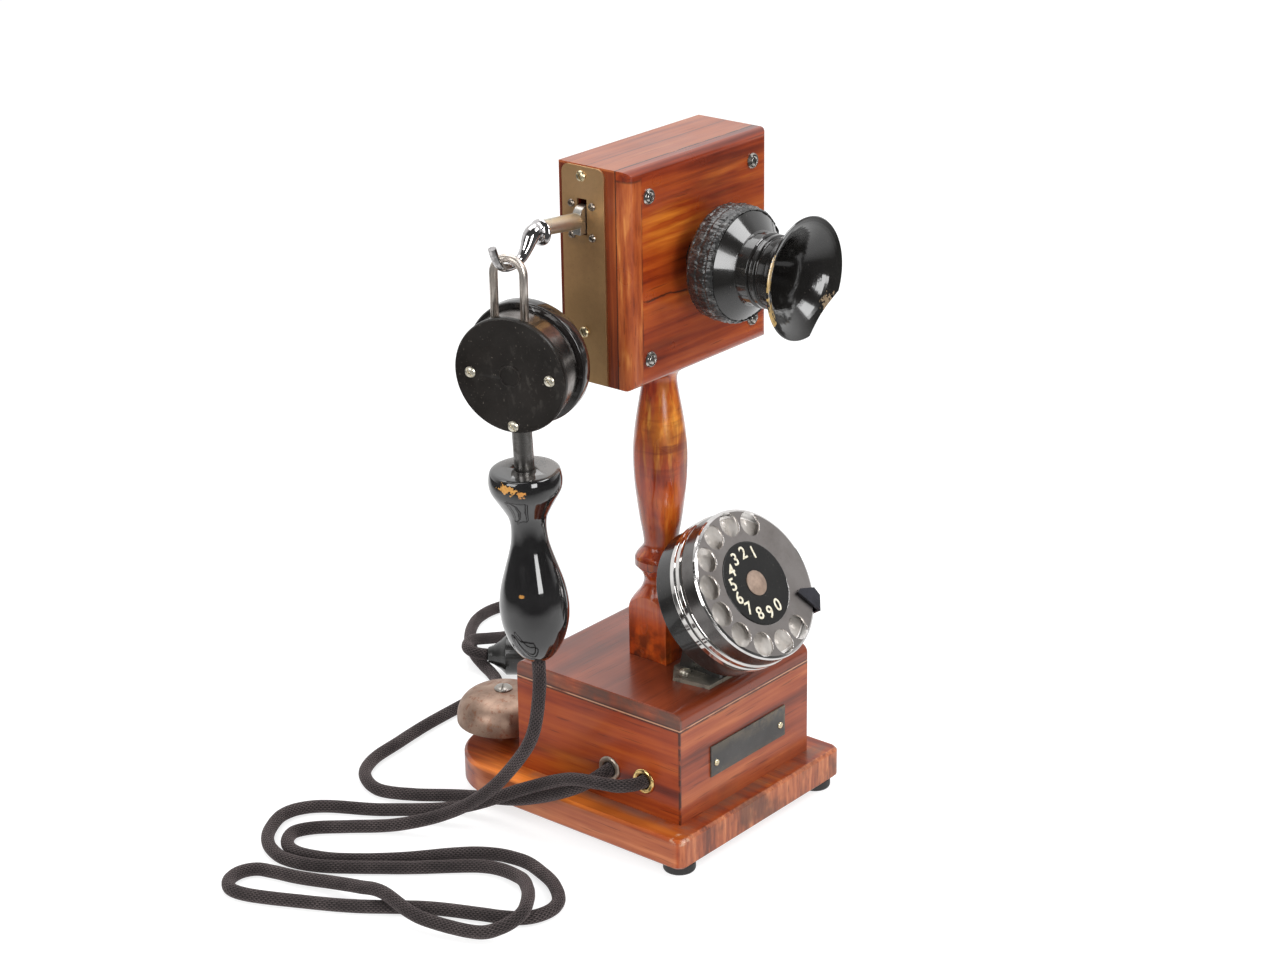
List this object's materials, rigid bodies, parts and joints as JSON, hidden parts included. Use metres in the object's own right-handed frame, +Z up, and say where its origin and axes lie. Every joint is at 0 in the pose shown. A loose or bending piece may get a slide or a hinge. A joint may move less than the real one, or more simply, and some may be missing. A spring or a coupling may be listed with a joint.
{
  "type": "desk telephone",
  "caption": "Wooden pedestal desk telephone: switch hook with hanging receiver, horn mouthpiece, tilted finger dial, two bells, braided cords.",
  "frame": {"origin": "middle of the bounding box without the cords, on the surface that the feet stand on", "axes": "+Z up; -Y to the front, where the mouthpiece and the dial face; -X to the side of the hook and the receiver"},
  "size_m": [0.3381, 0.3029, 0.3346],
  "materials": {
    "plate_wood": "satin varnish, worn at the edges",
    "box_wood": "satin varnish",
    "lid_wood": "satin varnish, rubbed",
    "column_wood": "glossy varnish",
    "case_wood": "satin varnish",
    "panel_wood": "satin varnish",
    "foot_rubber": "matte",
    "plate_black": "satin",
    "screw_steel": "dull",
    "screw_brass": "aged",
    "screw_nickel": "aged nickel",
    "bright_brass": "bright",
    "dull_nickel": "dull nickel",
    "gong_metal": "rusty nickel",
    "plain_steel": "plain",
    "coil_silk": "silk wrapped",
    "condenser_card": "waxed card",
    "moulded_black": "moulded",
    "plate_brass": "tarnished satin",
    "lever_steel": "bright edges",
    "sleeve_nickel": "satin nickel",
    "hook_chrome": "polished",
    "spring_brass": "satin",
    "stem_black": "gloss enamel",
    "cup_black": "gloss enamel",
    "tape_black": "worn adhesive tape",
    "horn_black": "gloss, worn rim",
    "cover_black": "gloss",
    "bail_nickel": "aged nickel",
    "case_nickel": "nickel",
    "cap_black": "gloss",
    "magnet_red": "paint",
    "neck_metal": "worn paint",
    "handle_lacquer": "black lacquer on wood, one chip",
    "bracket_black": "gloss enamel",
    "dial_black": "gloss enamel",
    "dial_nickel": "nickel",
    "wheel_nickel": "worn nickel",
    "number_enamel": "enamel with pale digits",
    "cap_brown": "matte",
    "stop_steel": "dark steel",
    "cord_braid": "braided cotton",
    "plug_black": "moulded"
  },
  "bodies": {
    "stand": {"base_plate": "plate_wood", "rubber_feet": "foot_rubber", "base_box": "box_wood", "base_screws": "screw_steel", "base_lid": "lid_wood", "nameplate": "plate_black", "nameplate_screws": "screw_brass", "front_grommet": "bright_brass", "rear_grommet": "dull_nickel", "left_gong": "gong_metal", "right_gong": "gong_metal", "gong_posts": "plain_steel", "gong_screws": "screw_steel", "ringer_frame": "plain_steel", "ringer_coils": "coil_silk", "induction_coil": "coil_silk", "condenser": "condenser_card", "terminal_block": "moulded_black", "terminal_screws": "screw_brass", "column": "column_wood", "tie_rod": "screw_brass", "head_case": "case_wood", "front_panel": "panel_wood", "panel_screws": "screw_nickel", "switch_plate": "plate_brass", "plate_screws": "screw_brass", "lever_bracket": "plain_steel", "contact_springs": "spring_brass", "transmitter_stem": "stem_black", "transmitter_cup": "cup_black", "binding_tape": "tape_black", "carbon_capsule": "plain_steel", "transmitter_diaphragm": "plain_steel", "horn": "horn_black", "dial_bracket": "bracket_black", "bracket_screws": "screw_nickel", "dial_case": "dial_black", "dial_ring": "dial_nickel", "finger_stop": "stop_steel", "receiver_cord": "cord_braid", "line_cord": "cord_braid", "line_plug": "plug_black", "plug_pins": "screw_brass"},
    "dial_wheel": {"finger_wheel": "wheel_nickel", "number_plate": "number_enamel", "centre_cap": "cap_brown", "dial_shaft": "plain_steel"},
    "switch_hook": {"hook_lever": "lever_steel", "lever_sleeve": "sleeve_nickel", "hook": "hook_chrome"},
    "receiver": {"receiver_cover": "cover_black", "receiver_screws": "screw_brass", "bail": "bail_nickel", "receiver_case": "case_nickel", "ear_cap": "cap_black", "receiver_magnet": "magnet_red", "receiver_diaphragm": "plain_steel", "neck_tube": "neck_metal", "handle": "handle_lacquer"},
    "ringer_arm": {"clapper": "plain_steel"}
  },
  "joints": [
    {"name": "dial_turn", "type": "hinge", "parent": "stand", "child": "dial_wheel", "pos_m": [0.02445, -0.06715, 0.1301], "axis": [0, 0.8241, -0.5664], "range_deg": [0, 312], "stiffness_Nm_per_rad": 0.008},
    {"name": "receiver_lift", "type": "slide", "parent": "stand", "child": "receiver", "axis": [-0.2, 0, 0.9798], "range_m": [0, 0.02]},
    {"name": "hook_lift", "type": "hinge", "parent": "stand", "child": "switch_hook", "pos_m": [0.00845, -0.00855, 0.3071], "axis": [0, 1, 0], "range_deg": [0, 4]},
    {"name": "clapper_swing", "type": "hinge", "parent": "stand", "child": "ringer_arm", "pos_m": [0.02445, 0.02735, 0.031], "axis": [0, 0, 1], "range_deg": [-2, 2]}
  ],
  "couplings": [
    {"joint": "hook_lift", "follows": "receiver_lift", "rad_per_m": 3.45}
  ]
}
